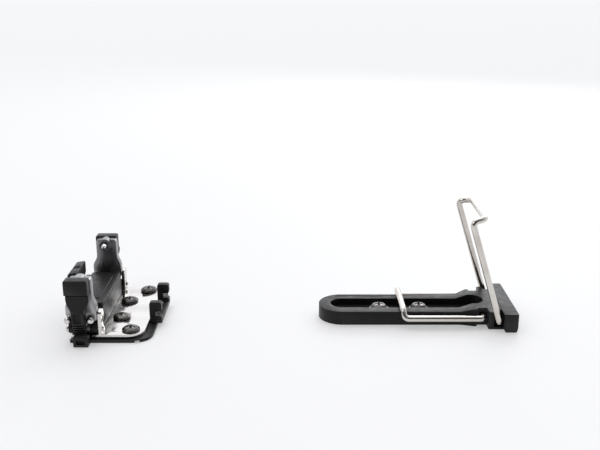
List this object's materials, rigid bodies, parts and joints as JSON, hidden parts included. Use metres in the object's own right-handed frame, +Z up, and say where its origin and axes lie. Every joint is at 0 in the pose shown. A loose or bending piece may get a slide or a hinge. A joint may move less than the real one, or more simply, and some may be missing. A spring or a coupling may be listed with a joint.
{
  "type": "touring binding",
  "caption": "Ski touring binding: a toe unit whose sprung arms hold the boot by pins, and a slotted heel plate with low and tall folding climbing wires.",
  "frame": {"origin": "on the ski's top face, under the axis of the boot pins, on the centreline", "axes": "+X from the ski's tip to its tail, +Y to the right-hand side, +Z up off the ski"},
  "size_m": [0.2671, 0.0936, 0.0791],
  "materials": {
    "black_plastic": "fine moulded grain",
    "grey_aluminium": "satin",
    "polished_steel": "polished",
    "wire_steel": "drawn wire",
    "screw_steel": "plated"
  },
  "bodies": {
    "root": {"toe_pad": "black_plastic", "toe_plate": "polished_steel", "toe_screw_front_left": "screw_steel", "toe_screw_rear_left": "screw_steel", "toe_screw_front_right": "screw_steel", "toe_screw_rear_right": "screw_steel", "spring_housing": "black_plastic", "housing_cover": "black_plastic", "lever_pin": "polished_steel", "crampon_bracket": "black_plastic", "hinge_block_left": "black_plastic", "hinge_block_right": "black_plastic", "arm_axle_left": "polished_steel", "arm_axle_right": "polished_steel", "bracket_screw_left": "screw_steel", "bracket_screw_right": "screw_steel", "coil_spring_front_left": "wire_steel", "coil_spring_rear_left": "wire_steel", "coil_spring_front_right": "wire_steel", "coil_spring_rear_right": "wire_steel", "heel_screw_front": "screw_steel", "heel_screw_rear": "screw_steel", "cup_washer_front": "screw_steel", "cup_washer_rear": "screw_steel"},
    "left_arm": {"wing_left": "grey_aluminium", "arm_cover_left": "black_plastic", "boot_pin_left": "polished_steel"},
    "right_arm": {"wing_right": "grey_aluminium", "arm_cover_right": "black_plastic", "boot_pin_right": "polished_steel"},
    "left_rods": {"spring_rod_front_left": "polished_steel", "spring_rod_rear_left": "polished_steel"},
    "right_rods": {"spring_rod_front_right": "polished_steel", "spring_rod_rear_right": "polished_steel"},
    "lever": {"front_lever": "black_plastic"},
    "slider": {"lock_slider": "polished_steel"},
    "heel_unit": {"heel_plate": "black_plastic", "bail_keeper": "polished_steel", "keeper_screw_left": "screw_steel", "keeper_screw_right": "screw_steel"},
    "low_bail": {"low_wire": "wire_steel"},
    "tall_bail": {"tall_wire": "wire_steel"}
  },
  "joints": [
    {"name": "lever_tilt", "type": "hinge", "parent": "root", "child": "lever", "pos_m": [-0.011, 0, 0.008], "axis": [0, -1, 0], "range_deg": [0, 70], "stiffness_Nm_per_rad": 0.002, "springref_deg": -28.65},
    {"name": "left_arm_swing", "type": "hinge", "parent": "root", "child": "left_arm", "pos_m": [0, -0.036, 0.0075], "axis": [1, 0, 0], "range_deg": [0, 14.7], "stiffness_Nm_per_rad": 0.0004, "springref_deg": -28.65},
    {"name": "right_arm_swing", "type": "hinge", "parent": "root", "child": "right_arm", "pos_m": [0, 0.036, 0.0075], "axis": [-1, 0, 0], "range_deg": [0, 14.7], "stiffness_Nm_per_rad": 0.0004, "springref_deg": -28.65},
    {"name": "left_rods_slide", "type": "slide", "parent": "root", "child": "left_rods", "axis": [0, -1, 0], "range_m": [0, 0.00248], "deforming": ["coil_spring_front_left", "coil_spring_rear_left"]},
    {"name": "right_rods_slide", "type": "slide", "parent": "root", "child": "right_rods", "axis": [0, 1, 0], "range_m": [0, 0.00248], "deforming": ["coil_spring_front_right", "coil_spring_rear_right"]},
    {"name": "slider_slide", "type": "slide", "parent": "root", "child": "slider", "axis": [-1, 0, 0], "range_m": [0, 0.00425]},
    {"name": "heel_adjust", "type": "slide", "parent": "root", "child": "heel_unit", "axis": [1, 0, 0], "range_m": [-0.03, 0.02]},
    {"name": "low_wire_flip", "type": "hinge", "parent": "heel_unit", "child": "low_bail", "pos_m": [0.2345, 0, 0.006], "axis": [0, 1, 0], "range_deg": [0, 90]},
    {"name": "tall_wire_flip", "type": "hinge", "parent": "heel_unit", "child": "tall_bail", "pos_m": [0.2427, 0, 0.005], "axis": [0, 1, 0], "range_deg": [-72.5, 8]}
  ],
  "couplings": [
    {"joint": "left_arm_swing", "follows": "lever_tilt", "ratio": 0.2},
    {"joint": "right_arm_swing", "follows": "lever_tilt", "ratio": 0.2},
    {"joint": "left_rods_slide", "follows": "lever_tilt", "m_per_rad": 0.00192},
    {"joint": "right_rods_slide", "follows": "lever_tilt", "m_per_rad": 0.00192},
    {"joint": "slider_slide", "follows": "lever_tilt", "m_per_rad": 0.0033}
  ]
}
